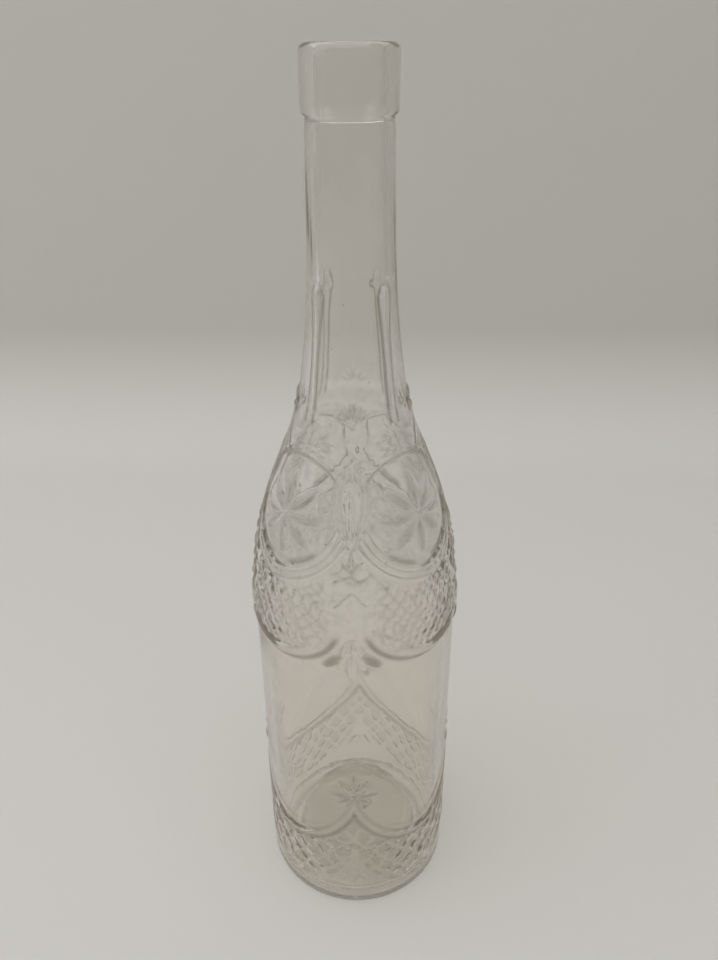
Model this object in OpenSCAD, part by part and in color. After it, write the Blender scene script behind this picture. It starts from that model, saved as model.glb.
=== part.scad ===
// Moulded clear glass bottle, modelled as the zones of its one wall, stacked face to face.
// Origin at the middle of the resting ring, +Z up through the mouth, in millimetres.
// Every zone repeats four times round the axis: cusps at 0, 90, 180 and 270 degrees, lobes between.

/* [Base] */
// Height of the base section, from the resting ring to the lower band
base_h = 8; // [7.5:0.5:14]
// Radius that rounds the heel
heel_round = 4; // [2:0.5:5]
// Width of the flat ring that the bottle rests on
ring_w = 4.4; // [3:0.2:6]
// Height of the pushed-up underside
punt_h = 14.5; // [6:0.5:17]
// Diameter of the flat top of the pushed-up underside
punt_top_d = 36; // [26:1:40]
// Thickness of the glass in the floor
floor_t = 6; // [3:0.5:7]

/* [Body] */
// Outer diameter of the plain wall
body_d = 70.6; // [64:0.2:80]
// Thickness of the wall in the body
body_wall = 3.4; // [2.4:0.2:4]
// Height of the lower diamond band section
band_h = 51; // [51:1:64]
// Height of the plain body section
plain_h = 53; // [44:1:80]

/* [Shoulder] */
// Height of the upper diamond section
diamond_h = 37; // [34:1:44]
// Height in the upper diamond section at which the wall starts to curve in
curve_up = 12; // [8:1:16]
// Height of the star medallion section
medal_h = 49; // [49:1:56]
// Outer diameter where the star medallion section starts
foot_d = 66.4; // [64:0.2:68]
// Outer diameter at the middle of the shoulder's slope
waist_d = 49.4; // [47:0.2:51]
// Outer diameter where the shoulder runs into the fluted neck
neck_root_d = 37; // [35.4:0.2:39]
// Thickness of the wall at the top of the shoulder
shoulder_wall = 3.2; // [2.4:0.2:3.6]

/* [Neck] */
// Height of the fluted neck section
flute_h = 45; // [42:1:56]
// Height of the plain neck section
neck_h = 40; // [30:0.5:60]
// Outer diameter in the lower part of the fluted neck
flare_d = 31.4; // [30.4:0.2:32.4]
// Outer diameter at the foot of the plain neck
neck_foot_d = 26.2; // [25:0.2:28]
// Outer diameter of the plain neck just under the lip
neck_top_d = 24.2; // [23:0.2:25]
// Bore at the foot of the plain neck
neck_bore_d = 20.2; // [19:0.2:21]

/* [Lip] */
// Height of the lip collar
lip_h = 17; // [12:0.5:24]
// Outer diameter of the lip collar
lip_d = 26.5; // [25.6:0.1:29]
// Diameter of the bore in the lip, which takes the stopper
mouth_d = 18.5; // [17.5:0.1:19.4]
// Radius that rounds the rim of the mouth
rim_round = 1.2; // [0.6:0.1:1.6]

/* [Medallions] */
// Height of the star's middle above the foot of the medallion section
star_up = 24; // [24:0.5:25]
// Radius of the medallion's outer ridge, measured over the glass
medal_r = 24; // [22:0.5:24]
// Radius of the medallion's inner ridge, measured over the glass
inner_r_ridge = 18.8; // [18:0.2:20]
// How far a ridge stands out
ridge_rise = 1.3; // [0.9:0.1:1.6]
// How far the smooth band between the ridges stands out
ribbon_rise = 0.6; // [0.3:0.1:0.8]
// How far the middle of a medallion swells
dome_rise = 2.3; // [1.5:0.1:2.6]
// Number of petals in a star
star_petals = 8; // [6:2:10]
// Length of a star petal
petal_l = 12; // [10:0.5:14]
// Width of a star petal
petal_w = 3.6; // [2.4:0.2:4]
// How far a petal stands out
petal_rise = 1; // [0.7:0.1:1.3]

/* [Diamonds] */
// Height of one upper diamond
diamond_cell_h = 5; // [4.5:0.5:6]
// Height of one lower diamond
band_cell_h = 9; // [8:0.5:10]
// How far the peaks of the diamonds stand out
peak_rise = 1.7; // [1.2:0.1:2]
// How far the valleys between the diamonds stand out
valley_rise = 0.3; // [0.2:0.1:0.7]
// How far the peaks of the lower diamonds stand out
band_peak = 0.5; // [0.3:0.1:0.8]
// How far the valleys between the lower diamonds are sunk
band_valley = 0.7; // [0.3:0.1:0.9]
// How far the smooth rim of a lobe stands out
rim_rise = 1.4; // [1:0.1:1.8]
// Width of the smooth rim of a lobe
rim_w = 1.8; // [1.2:0.2:2.4]
// Depth of an upper lobe, from its ends to its lowest point
lobe_depth = 15; // [12:0.5:17]
// Height of the lowest point of an upper lobe above the foot of its section
lobe_up = 11; // [9:0.5:14]

/* [Lower Band] */
// Width of the smooth ribbon over the lower diamonds
ribbon_w = 3.7; // [2.5:0.1:4.2]
// How far the ribbon stands out
ribbon_out = 0.6; // [0.4:0.1:1]
// Height of the ribbon's lowest point above the foot of the lower band
ribbon_up = 26.4; // [24:0.2:26.8]
// Height of the lowest point of the lower diamonds above the foot of the lower band
heel_up = 1; // [0.8:0.2:3]

/* [Flutes] */
// How far the rib between two flutes stands out
rib_rise = 1.1; // [0.6:0.1:1.4]
// Half width of a rib near its top, in degrees round the neck
rib_half = 10; // [8:0.5:12]
// How far the collar under the flutes stands out
collar_rise = 0.6; // [0.3:0.1:0.9]
// Height of the lower end of a flute above the foot of its section
flute_up = 3.5; // [3:0.5:6]

/* [Hidden] */
$fn = 96;
glass = [0.82, 0.84, 0.83, 0.5];

panels = 4;                  // repeats round the axis
petal_gap = 1;               // gap between a star's middle and its petals
cells_up = 12;               // upper diamonds in one panel
cells_low = 7;               // lower diamonds in one panel
over = 1;                    // how far a cutter runs past what it cuts
buried = 0.3;                // how deep the edge of a raised leaf lies in the wall
lean = 0.95;                 // height gained for each millimetre along the sloping shoulder
step_h = 0.5;                // height in which the edge of a raised field rises
row_gap = 0.7;               // least height between an edge and the next row of diamonds
ridge_foot = 0.8;            // half width of a ridge at its foot
waist_up = 31;               // height of the shoulder's middle above the star section's foot
flare_up = 15;               // height of the flare's ring above the foot of the flutes
panel_a = 360 / panels;
half_a = panel_a / 2;

body_r = body_d / 2;
z_band = base_h;
z_plain = z_band + band_h;
z_diamond = z_plain + plain_h;
z_medal = z_diamond + diamond_h;
z_flute = z_medal + medal_h;
z_neck = z_flute + flute_h;
z_lip = z_neck + neck_h;
z_top = z_lip + lip_h;
z_star = z_medal + star_up;

// Rings that the outer profile runs through: height, radius, slope of the radius
profile = [
    [0, body_r, 0],
    [z_diamond + curve_up, body_r, 0],
    [z_medal, foot_d / 2, -0.17],
    [z_medal + waist_up, waist_d / 2, -0.41],
    [z_flute, neck_root_d / 2, -0.26],
    [z_flute + flare_up, flare_d / 2, -0.13],
    [z_neck, neck_foot_d / 2, -0.04],
    [z_lip, neck_top_d / 2, -0.03],
    [z_top, neck_top_d / 2, 0]
];

// Smooth curve between two profile rings
function blend(z, a, b) =
    let (h = b[0] - a[0], t = (z - a[0]) / h)
    (2 * t^3 - 3 * t^2 + 1) * a[1] + (t^3 - 2 * t^2 + t) * h * a[2]
    + (3 * t^2 - 2 * t^3) * b[1] + (t^3 - t^2) * h * b[2];
function along(z, i = 0) =
    (i == len(profile) - 2 || z <= profile[i + 1][0])
    ? blend(z, profile[i], profile[i + 1]) : along(z, i + 1);
function outer_r(z) = along(min(max(z, 0), z_top));

// Wall thickness at a height, and the radius of the cavity that it leaves
function wall_t(z) = lookup(z, [
    [z_medal, body_wall], [z_flute, shoulder_wall], [z_neck, (neck_foot_d - neck_bore_d) / 2]]);
function inner_r(z) = z < z_neck ? outer_r(z) - wall_t(z)
    : lookup(z, [[z_neck, neck_bore_d / 2], [z_lip, mouth_d / 2]]);

// Even steps from a to b; short leaves out that many at the end
function steps(a, b, n, short = 0) = [for (i = [0:n - short]) a + (b - a) * i / n];

// The cavity between two heights, as a turned solid
module cavity(z0, z1, n) {
    zs = steps(z0, z1, n);
    rotate_extrude()
        polygon(concat(
            [[0, z0 - over], [inner_r(z0), z0 - over]],
            [for (z = zs) [inner_r(z), z]],
            [[inner_r(z1), z1 + over], [0, z1 + over]]));
}

// The outer form between two heights, as a turned solid
module turned(z0, z1, n) {
    rotate_extrude()
        polygon(concat([[0, z0]], [for (z = steps(z0, z1, n)) [outer_r(z), z]], [[0, z1]]));
}

// Rise of an upright ellipse above its lowest point, t degrees from the middle
function arc_rise(t, half, height) = height * (1 - sqrt(1 - (t / half)^2));

// Angle from the nearest cusp, from 0 at a cusp to half_a at the middle of a lobe
function from_cusp(a) = let (q = (a + 360) % panel_a) min(q, panel_a - q);
function place(a, z, h) = let (r = outer_r(z) + h) [r * cos(a), r * sin(a), z];

// A wall of upright columns, each a list of runs of [height, rise] points that share their ends.
// Neighbouring columns are joined run by run, so a ridge stays a ridge from column to column.
function tail(v) = [for (i = [1:1:len(v) - 1]) v[i]];
function joined(runs) = [for (k = [0:len(runs) - 1]) each (k == 0 ? runs[k] : tail(runs[k]))];
function run_start(runs, k) = k == 0 ? 0 : run_start(runs, k - 1) + len(runs[k - 1]) - 1;
function a_goes(a, b, i, j) =
    let (gap = a[i + 1][0] - b[j + 1][0])
    abs(gap) > 0.2 ? gap < 0 : a[i + 1][1] + b[j][1] <= a[i][1] + b[j + 1][1];
function lace(a, b, ia, ib, i = 0, j = 0) =
    let (a_done = i == len(a) - 1, b_done = j == len(b) - 1)
    (a_done && b_done) ? []
    : (b_done || (!a_done && a_goes(a, b, i, j)))
    ? concat([[ia + i, ia + i + 1, ib + j]], lace(a, b, ia, ib, i + 1, j))
    : concat([[ia + i, ib + j + 1, ib + j]], lace(a, b, ia, ib, i, j + 1));

module relief(columns) {
    n = len(columns);
    flat = [for (c = columns) joined(c)];
    start = [for (i = 0, s = 0; i < n; s = s + len(flat[i]), i = i + 1) s];
    low = start[n - 1] + len(flat[n - 1]);
    z0 = flat[0][0][0];
    z1 = flat[0][len(flat[0]) - 1][0];
    points = concat(
        [for (i = [0:n - 1]) each [for (p = flat[i]) place(i * 360 / n, p[0], p[1])]],
        [[0, 0, z0], [0, 0, z1]]);
    sides = [for (i = [0:n - 1]) let (j = (i + 1) % n) each
        [for (k = [0:len(columns[i]) - 1]) each
            lace(columns[i][k], columns[j][k],
                 start[i] + run_start(columns[i], k), start[j] + run_start(columns[j], k))]];
    caps = [for (i = [0:n - 1]) let (j = (i + 1) % n, ti = start[i] + len(flat[i]) - 1,
                                     tj = start[j] + len(flat[j]) - 1) each
        [[start[i], start[j], low], [tj, ti, low + 1]]];
    polyhedron(points, concat(sides, caps));
}

// A raised leaf on the wall: middle at angle a and height z, pointing at turn degrees from
// upright, with a ridge along it, pointed ends and its edge sunk a little into the wall.
// ground gives the rise of the wall that the leaf lies on, from an angle and a height.
leaf_form = [[-0.55, 0.78], [0, 1], [0.55, 0.78]];   // where along a leaf, and its share of width
flat_ground = function (a, z) 0;

module leaf(a, z, turn, l, w, rise, ground = flat_ground) {
    function spot(s, side, h) =
        let (up = s * l / 2 * cos(turn) - side * w / 2 * sin(turn),
             round_by = s * l / 2 * sin(turn) + side * w / 2 * cos(turn),
             zz = z + up * lean,
             aa = a + round_by / outer_r(zz) * 180 / PI)
        place(aa, zz, h + ground(aa, zz));
    n = len(leaf_form);
    last = 4 * n + 1;
    points = concat(
        [spot(-1, 0, -buried)],
        [for (f = leaf_form) each
            [spot(f[0], f[1], -buried), spot(f[0], 0, rise * f[1]),
             spot(f[0], -f[1], -buried), spot(f[0], 0, -3 * buried)]],
        [spot(1, 0, -buried)]);
    polyhedron(points, concat(
        [for (k = [0:3]) [0, 1 + (k + 1) % 4, 1 + k]],
        [for (s = [0:n - 2], k = [0:3]) each
            let (p = 1 + 4 * s + k, q = 1 + 4 * s + (k + 1) % 4) [[p, q, q + 4], [p, q + 4, p + 4]]],
        [for (k = [0:3]) [last, last - 4 + k, last - 4 + (k + 1) % 4]]));
}

// A fan of leaves that spread from one point: leaves is a list of [turn, length]
module fan(a, z, leaves, w, rise, gap, ground = flat_ground) {
    for (f = leaves) {
        reach = gap + f[1] / 2;
        leaf(a + reach * sin(f[0]) / outer_r(z) * 180 / PI,
             z + reach * cos(f[0]) * lean, f[0], f[1], w, rise, ground);
    }
}

// The palmettes that stand on the cusps, each as the height of its middle above the foot of its
// section, a leaf's width and rise, the gap round its middle, and [turn, length] of each leaf
drooping = [25, 2.4, 1.4, 2.5, [[180, 18], [166, 13], [194, 13]]];
side_drops = [18.5, 2.4, 1.2, 3.6, [[129, 7], [231, 7]]];
rising = [4, 2.5, 0.8, 1, [[0, 10], [33, 8], [-33, 8], [86, 7.5], [-86, 7.5], [122, 5], [-122, 5]]];
heel_fan = [16, 2.4, 0.9, 2, [[180, 8], [150, 9], [210, 9]]];
neck_fan = [3.2, 1.6, 0.9, 1, [[0, 5], [27, 5], [-27, 5], [54, 4.5], [-54, 4.5]]];

module palmettes(z_foot, p) {
    for (k = [0:panels - 1])
        fan(k * panel_a, z_foot + p[0], p[4], p[1], p[2], p[3]);
}

// Lower edge of the upper diamond lobes, and the plain arch that runs up between them
lobe_half = 39;              // half width of a lobe in degrees
margin_a = half_a - lobe_half;
function lobe_edge(c) =
    let (ends = z_diamond + lobe_up + lobe_depth)
    c < margin_a ? ends + (z_medal + row_up - ends) * sqrt(1 - (c / margin_a)^2)
    : ends - lobe_depth * sqrt(1 - ((half_a - c) / lobe_half)^2);
function lattice(i, j) = (i + j) % 2 == 0 ? peak_rise : valley_rise;

up_cols = panels * cells_up * 2;
row_up = diamond_cell_h / 2;

function diamond_column(i) =
    let (c = from_cusp(i * 360 / up_cols),
         on = c > 0 ? 1 : 0,
         edge = min(lobe_edge(c), z_medal - rim_w - row_gap),
         last = floor((z_medal - edge - rim_w - row_gap) / row_up))
    [
        concat([for (z = [z_diamond, z_diamond + curve_up]) if (z < edge - 3 * step_h) [z, 0]],
               [[edge - step_h, 0]]),
        [[edge - step_h, 0], [edge, rim_rise * on]],
        [[edge, rim_rise * on], [edge + rim_w, rim_rise * on]],
        concat([[edge + rim_w, rim_rise * on]],
               [for (j = [last:-1:0]) [z_medal - j * row_up, lattice(i, j) * on]],
               last < 0 ? [[z_medal, lattice(i, 0) * on]] : [])
    ];

// Height at which a column meets a medallion ridge of radius r: way is -1 below the star, 1 above
function ring_z(t, r, way, z, n = 6) =
    n == 0 ? z
    : ring_z(t, r, way,
             z_star + way * lean * sqrt(max(0, r^2 - (outer_r(z) * t * PI / 180)^2)), n - 1);
function swell(t, z) =
    let (d2 = (outer_r(z) * t * PI / 180)^2 + ((z - z_star) / lean)^2)
    dome_rise * max(0, 1 - d2 / inner_r_ridge^2);

medal_ground = function (a, z) swell(half_a - from_cusp(a), z);

function medal_column(i) =
    let (c = from_cusp(i * 360 / up_cols),
         t = half_a - c,
         on = c > 0 ? 1 : 0,
         f = ridge_foot,
         o1 = ring_z(t, medal_r, -1, z_star),
         o2 = ring_z(t, medal_r, 1, z_star),
         n1 = min(ring_z(t, inner_r_ridge, -1, z_star), z_star - 1.5),
         n2 = max(ring_z(t, inner_r_ridge, 1, z_star), z_star + 1.5),
         crossed = outer_r(z_star) * t * PI / 180 < inner_r_ridge,
         inner = crossed ? ridge_rise : ribbon_rise,
         // the spindle that stands on the cusp, where two medallions overlap
         spindle = function (z) on == 1 ? 0
             : ridge_rise * max(0, 1 - ((2 * z - o1 - o2) / (o2 - o1 - 2 * f))^2),
         face = function (z) crossed ? swell(t, z) : ribbon_rise + spindle(z),
         rows = max(0, floor((o1 - f - row_gap - z_medal) / row_up)),
         mid = max(1, round((n2 - n1) / 6)))
    [
        concat([[z_medal, lattice(i, 0) * on]],
               [for (j = [1:1:rows]) [z_medal + j * row_up, lattice(i, j)]],
               [[o1 - f, valley_rise]]),
        [[o1 - f, valley_rise], [o1, ridge_rise]],
        [[o1, ridge_rise], [o1 + f, ribbon_rise]],
        [for (z = steps(o1 + f, n1 - f, on == 1 ? 1 : 3)) [z, ribbon_rise + spindle(z)]],
        [[n1 - f, ribbon_rise + spindle(n1 - f)], [n1, inner + spindle(n1)]],
        [[n1, inner + spindle(n1)], [n1 + f, face(n1 + f)]],
        [for (z = steps(n1 + f, n2 - f, mid)) [z, face(z)]],
        [[n2 - f, face(n2 - f)], [n2, inner + spindle(n2)]],
        [[n2, inner + spindle(n2)], [n2 + f, ribbon_rise + spindle(n2 + f)]],
        [for (z = steps(n2 + f, o2 - f, on == 1 ? 1 : 4)) [z, ribbon_rise + spindle(z)]],
        [[o2 - f, ribbon_rise], [o2, ridge_rise]],
        [[o2, ridge_rise], [o2 + f, collar_rise]],
        [[o2 + f, collar_rise], [z_flute, collar_rise]]
    ];

// Flutes: broad shallow panels with rounded lower corners, between ribs that taper downwards
shelf_h = 1.5;               // height of the shelf at the top of a rib
shelf_rise = 0.25;           // how far the shelf's edge stands out
corner_a = 15;               // width of a flute's rounded corner, in degrees
corner_h = 7;                // height of a flute's rounded corner
function rib_w(z) =
    lookup(z - z_neck, [[-25, rib_half * 0.3], [-9, rib_half], [-5, rib_half * 0.8], [-shelf_h, 1]]);
function rib(t, z) = z > z_neck - shelf_h ? 0 : rib_rise * max(0, 1 - (t / rib_w(z))^2);
function flute_foot(t) =
    z_flute + flute_up + (t < corner_a ? arc_rise(corner_a - t, corner_a, corner_h) : 0);

function flute_column(i) =
    let (t = half_a - from_cusp(i * 360 / up_cols),
         foot = flute_foot(t),
         z_shelf = z_neck - shelf_h,
         zs = steps(foot + 1, z_shelf, t < 12 ? 8 : 4))
    [
        [[z_flute, collar_rise], [foot, collar_rise]],
        [[foot, collar_rise], [foot + 1, rib(t, foot + 1)]],
        [for (z = zs) [z, rib(t, z)]],
        [[z_shelf, rib(t, z_shelf)], [z_neck - shelf_h / 2, shelf_rise]],
        [[z_neck - shelf_h / 2, shelf_rise], [z_neck, 0]]
    ];

// Lower band: a ribbon that dips in each lobe, diamonds, and lobes over a plain heel
low_cols = panels * cells_low * 4;
row_low = band_cell_h / 2;
ribbon_arc = [50, 34];       // the ribbon's scallop, as half its ellipse's width in degrees, and its height
heel_arc = [47, 32];         // the same for the scallops over the heel
function ribbon_edge(t) = z_band + ribbon_up + arc_rise(t, ribbon_arc[0], ribbon_arc[1]);
function heel_edge(t) = z_band + heel_up + arc_rise(t, heel_arc[0], heel_arc[1]);

// Rows of the lower diamonds that fall in a column between two heights. Columns between the
// peaks take the valley lines at half rows, and the slopes of the diamonds at whole rows.
function low_rise(i, v) =
    i % 2 == 0 ? ((i / 2 + v) % 2 == 0 ? band_peak : -band_valley)
    : v % 1 == 0 ? (band_peak - band_valley) / 2 : -band_valley;
function low_rows(i, z0, z1) =
    let (pitch = i % 2 == 0 ? 1 : 0.5,
         first = ceil((z_plain - z1) / row_low / pitch) * pitch,
         last = floor((z_plain - z0) / row_low / pitch) * pitch)
    [for (v = [last:-pitch:first]) [z_plain - v * row_low, low_rise(i, v)]];

function band_column(i) =
    let (t = half_a - from_cusp(i * 360 / low_cols),
         e = ribbon_edge(t),
         top = e + ribbon_w,
         h = heel_edge(t))
    [
        [[z_band, 0], [h - step_h, 0]],
        [[h - step_h, 0], [h, band_peak]],
        [[h, band_peak], [h + rim_w, band_peak]],
        concat([[h + rim_w, band_peak]],
               low_rows(i, h + rim_w + step_h, e - rim_w - step_h),
               [[e - rim_w, -band_valley]]),
        [[e - rim_w, -band_valley], [e, ribbon_out]],
        [[e, ribbon_out], [(e + top) / 2, ribbon_out / 2], [top, ribbon_out]],
        [[top, ribbon_out], [top + step_h, 0]],
        [[top + step_h, 0], [z_plain, 0]]
    ];

module lip_collar() {
    lip_r = lip_d / 2;
    bevel = 1.2;
    foot_step = 0.3;
    mouth_round = 0.5;
    color(glass)
        difference() {
            rotate_extrude() {
                translate([0, z_lip + bevel]) square([lip_r, lip_h - bevel - rim_round]);
                translate([0, z_lip]) square([lip_r - rim_round, lip_h]);
                translate([lip_r - rim_round, z_top - rim_round]) circle(rim_round);
                polygon([[0, z_lip], [neck_top_d / 2 + foot_step, z_lip], [lip_r, z_lip + bevel],
                         [lip_r, z_lip + 2 * bevel], [0, z_lip + 2 * bevel]]);
            }
            translate([0, 0, z_lip - over]) cylinder(h = lip_h + 2 * over, d = mouth_d);
            rotate_extrude()
                difference() {
                    translate([mouth_d / 2 - over, z_top - mouth_round])
                        square([mouth_round + over, mouth_round + over]);
                    translate([mouth_d / 2 + mouth_round, z_top - mouth_round])
                        circle(mouth_round);
                }
        }
}

module upper_neck() {
    color(glass)
        difference() {
            turned(z_neck, z_lip, 4);
            cavity(z_neck, z_lip, 1);
        }
}

module fluted_neck() {
    color(glass)
        difference() {
            union() {
                relief([for (i = [0:up_cols - 1]) flute_column(i)]);
                palmettes(z_flute, neck_fan);
            }
            cavity(z_flute, z_neck, 8);
        }
}

module star_shoulder() {
    color(glass)
        difference() {
            union() {
                relief([for (i = [0:up_cols - 1]) medal_column(i)]);
                for (k = [0:panels - 1])
                    fan(half_a + k * panel_a, z_star,
                        [for (turn = steps(0, 360, star_petals, 1)) [turn, petal_l]],
                        petal_w, petal_rise, petal_gap, medal_ground);
            }
            cavity(z_medal, z_flute, 12);
        }
}

module diamond_band() {
    color(glass)
        difference() {
            union() {
                relief([for (i = [0:up_cols - 1]) diamond_column(i)]);
                palmettes(z_diamond, drooping);
                palmettes(z_diamond, side_drops);
            }
            cavity(z_diamond, z_medal, 6);
        }
}

module plain_body() {
    color(glass)
        difference() {
            union() {
                turned(z_plain, z_diamond, 1);
                palmettes(z_plain, rising);
            }
            cavity(z_plain, z_diamond, 1);
        }
}

module lower_band() {
    color(glass)
        difference() {
            union() {
                relief([for (i = [0:low_cols - 1]) band_column(i)]);
                palmettes(z_band, heel_fan);
            }
            cavity(z_band, z_plain, 1);
        }
}

// Profiles of the pushed-up floor: an S curve from the channel up to the flat top
function ease(s) = s^2 * (3 - 2 * s);
function push_up(r_low, r_high, z_low, n) =
    [for (i = [0:n]) let (s = i / n) [r_low + (r_high - r_low) * s, z_low + punt_h * ease(s)]];

module punted_base() {
    ring_r = body_r - heel_round;
    cav_r = body_r - body_wall;
    floor_round = 3;
    floor_r = cav_r - floor_round;
    top_r = punt_top_d / 2;
    swell = 0.6;
    color(glass)
        rotate_extrude()
            polygon(concat(
                [[0, punt_h + swell]],
                [for (p = push_up(top_r, ring_r - ring_w, 0, 8)) [p[0], punt_h - p[1]]],
                [for (a = [0:15:90]) [ring_r + heel_round * sin(a), heel_round * (1 - cos(a))]],
                [[body_r, z_band], [cav_r, z_band]],
                [for (a = [0:22.5:90]) [floor_r + floor_round * cos(a), floor_t + floor_round * (1 - sin(a))]],
                push_up(floor_r - 1, top_r + 2, floor_t, 8),
                [[0, punt_h + floor_t + swell]]));
}

punted_base();
lower_band();
plain_body();
diamond_band();
star_shoulder();
fluted_neck();
upper_neck();
lip_collar();
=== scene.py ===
import math
import bpy
import numpy as np
from mathutils import Matrix, Vector


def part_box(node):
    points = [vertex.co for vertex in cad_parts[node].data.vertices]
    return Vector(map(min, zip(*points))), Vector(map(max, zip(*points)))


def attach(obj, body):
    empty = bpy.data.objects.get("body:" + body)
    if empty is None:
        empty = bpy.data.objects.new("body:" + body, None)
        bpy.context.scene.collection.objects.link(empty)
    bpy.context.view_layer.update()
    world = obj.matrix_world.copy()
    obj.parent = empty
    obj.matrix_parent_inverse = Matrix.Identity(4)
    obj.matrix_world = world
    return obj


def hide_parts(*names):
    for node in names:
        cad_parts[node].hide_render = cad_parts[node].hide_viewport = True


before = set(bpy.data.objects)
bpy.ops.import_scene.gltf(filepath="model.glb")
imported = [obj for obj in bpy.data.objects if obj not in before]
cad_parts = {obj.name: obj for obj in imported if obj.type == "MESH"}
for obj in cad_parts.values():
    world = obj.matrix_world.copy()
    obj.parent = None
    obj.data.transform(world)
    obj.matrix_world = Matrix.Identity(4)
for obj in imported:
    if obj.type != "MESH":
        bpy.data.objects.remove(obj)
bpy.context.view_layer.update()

mm = 0.001
print("Frame loaded: nodes", len(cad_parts))

# The bottle's zones, from the base to the lip, each standing for one node of the frame
zoneNames = ["punted_base", "lower_band", "plain_body", "diamond_band",
             "star_shoulder", "fluted_neck", "upper_neck", "lip_collar"]


def boxOf(node):
    low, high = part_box(node)
    return [v / mm for v in low], [v / mm for v in high]


zBand, zPlain, zDiamond, zMedal, zFlute, zNeck, zLip = [boxOf(name)[0][2] for name in zoneNames[1:]]
zTop = boxOf("lip_collar")[1][2]
lipR = boxOf("lip_collar")[1][0]
bodyR = boxOf("punted_base")[1][0]
rootR = boxOf("upper_neck")[1][0]
zStar = zMedal + 24           # the middles of the stars

# The wall: outer form, thickness and how finely it is divided
wall = {
    "panels": 4,
    "fineCols": 480,          # round the outside
    "coarseCols": 240,        # round the inside
    "bodyWall": 3.4,
    "shoulderWall": 3.2,
    "neckBore": 20.2,
    "mouthBore": 18.5,
    "neckTopR": 12.1,
    "ripple": 0.03,           # slow waves of the outer face
    "innerRipple": 0.05,      # slow waves of the inner face
    "boreStreaks": 0.02,      # fine upright streaks inside the neck
    "backFaint": 0.25,        # the neck's fans came out weaker at the back
    "edgeSoft": 0.36,         # how softly the mould's edges came out, in mm
    "innerSoft": 2.4,         # the inner face follows the pattern, much softened
    "innerShare": 0.12,
    "cornerSink": 0.04,       # four upright hollows of the inner face in the body
    "lean": 0.95,             # height gained for each mm along the sloping shoulder
    # Where the waves, the pattern, the hollows and the streaks begin and end
    "outerFade": ((8, 30), (0, -25)), "outerEnds": (2, -0.5), "cornerFrom": (30, 50),
    "innerFade": ((10, 30), (-2, -30)), "innerEnds": (2, -4), "streaksFrom": (-12, 4),
    # Each zone's rows of points: zone, from, to, step
    "outerSpans": [(1, zBand, zPlain, 0.45), (2, zPlain, zPlain + 17, 0.45),
                   (2, zPlain + 17, zDiamond, 2.0), (3, zDiamond, zMedal, 0.42),
                   (4, zMedal, zFlute, 0.42), (5, zFlute, zNeck, 0.6), (6, zNeck, zLip, 1.6)],
    "innerSpans": [(7, zTop - 2.2, zLip, 1.2), (6, zLip, zNeck, 1.5), (5, zNeck, zFlute, 1.2),
                   (4, zFlute, zMedal, 0.8), (3, zMedal, zDiamond, 0.8), (2, zDiamond, zPlain, 1.6),
                   (1, zPlain, zBand, 1.2)],
}
panelDeg = 360 / wall["panels"]
halfDeg = panelDeg / 2
lean = wall["lean"]

profileRings = [              # height, radius, slope of the radius
    (0, bodyR, 0),
    (zDiamond + 12, bodyR, 0),
    (zMedal, 33.2, -0.17),
    (zMedal + 31, 24.7, -0.41),
    (zFlute, 18.5, -0.26),
    (zFlute + 15, 15.7, -0.13),
    (zNeck, rootR, -0.04),
    (zLip, wall["neckTopR"], -0.03),
    (zTop, wall["neckTopR"], 0),
]


def plainRadius(z):
    z = np.clip(np.asarray(z, float), 0, zTop)
    r = np.zeros_like(z)
    for (z0, r0, s0), (z1, r1, s1) in zip(profileRings, profileRings[1:]):
        t = (z - z0) / (z1 - z0)
        h = z1 - z0
        curve = ((2 * t**3 - 3 * t**2 + 1) * r0 + (t**3 - 2 * t**2 + t) * h * s0
                 + (3 * t**2 - 2 * t**3) * r1 + (t**3 - t**2) * h * s1)
        r = np.where((z >= z0) & (z <= z1), curve, r)
    return r


def innerRadius(z):
    thick = np.interp(z, [zMedal, zFlute, zNeck],
                      [wall["bodyWall"], wall["shoulderWall"], rootR - wall["neckBore"] / 2])
    neck = np.interp(z, [zNeck, zLip], [wall["neckBore"] / 2, wall["mouthBore"] / 2])
    return np.where(z < zNeck, plainRadius(z) - thick, neck)


def smoothStep(a, b, x):
    t = np.clip((x - a) / (b - a), 0, 1)
    return t * t * (3 - 2 * t)


def stepNear(place, span, x):     # the same, over a span that is counted from a place
    return smoothStep(place + span[0], place + span[1], x)


def ridge(d, halfWidth):
    return np.clip(1 - (d / halfWidth)**2, 0, 1)**1.5


def arcRise(t, half, high):   # rise of an upright ellipse above its lowest point
    return high * (1 - np.sqrt(np.clip(1 - (t / half)**2, 0, 1)))


# Leaves: each is pointed at both ends, with a crest along it
leafForm = {"outline": 0.8, "across": 1.4, "along": 0.5}      # how full its outline and its crest are


def leafHeights(phi, z, a0, z0, turn, longMm, wideMm, rise):
    middle = z0 + longMm / 2 * math.cos(math.radians(turn)) * lean
    r = float(plainRadius(middle))
    across = ((phi - a0 + 180) % 360 - 180) * math.pi / 180 * r
    up = (z - z0) / lean
    ca, sa = math.cos(math.radians(turn)), math.sin(math.radians(turn))
    s = (up * ca + across * sa) / longMm * 2 - 1
    side = across * ca - up * sa
    half = wideMm / 2 * np.clip(1 - s * s, 0, 1)**leafForm["outline"]
    body = np.clip(1 - (np.abs(side) / np.maximum(half, 1e-6))**leafForm["across"], 0, 1)
    return rise * body * np.clip(1 - s * s, 0, 1)**leafForm["along"]


def fanHeights(phi, z, a0, z0, leaves, wideMm, rise, gap):
    h = np.zeros(np.broadcast(phi, z).shape)
    r = float(plainRadius(z0))
    for turn, longMm in leaves:
        a = a0 + gap * math.sin(math.radians(turn)) / r * 180 / math.pi
        zz = z0 + gap * math.cos(math.radians(turn)) * lean
        h = np.maximum(h, leafHeights(phi, z, a, zz, turn, longMm, wideMm, rise))
    return h


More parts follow.
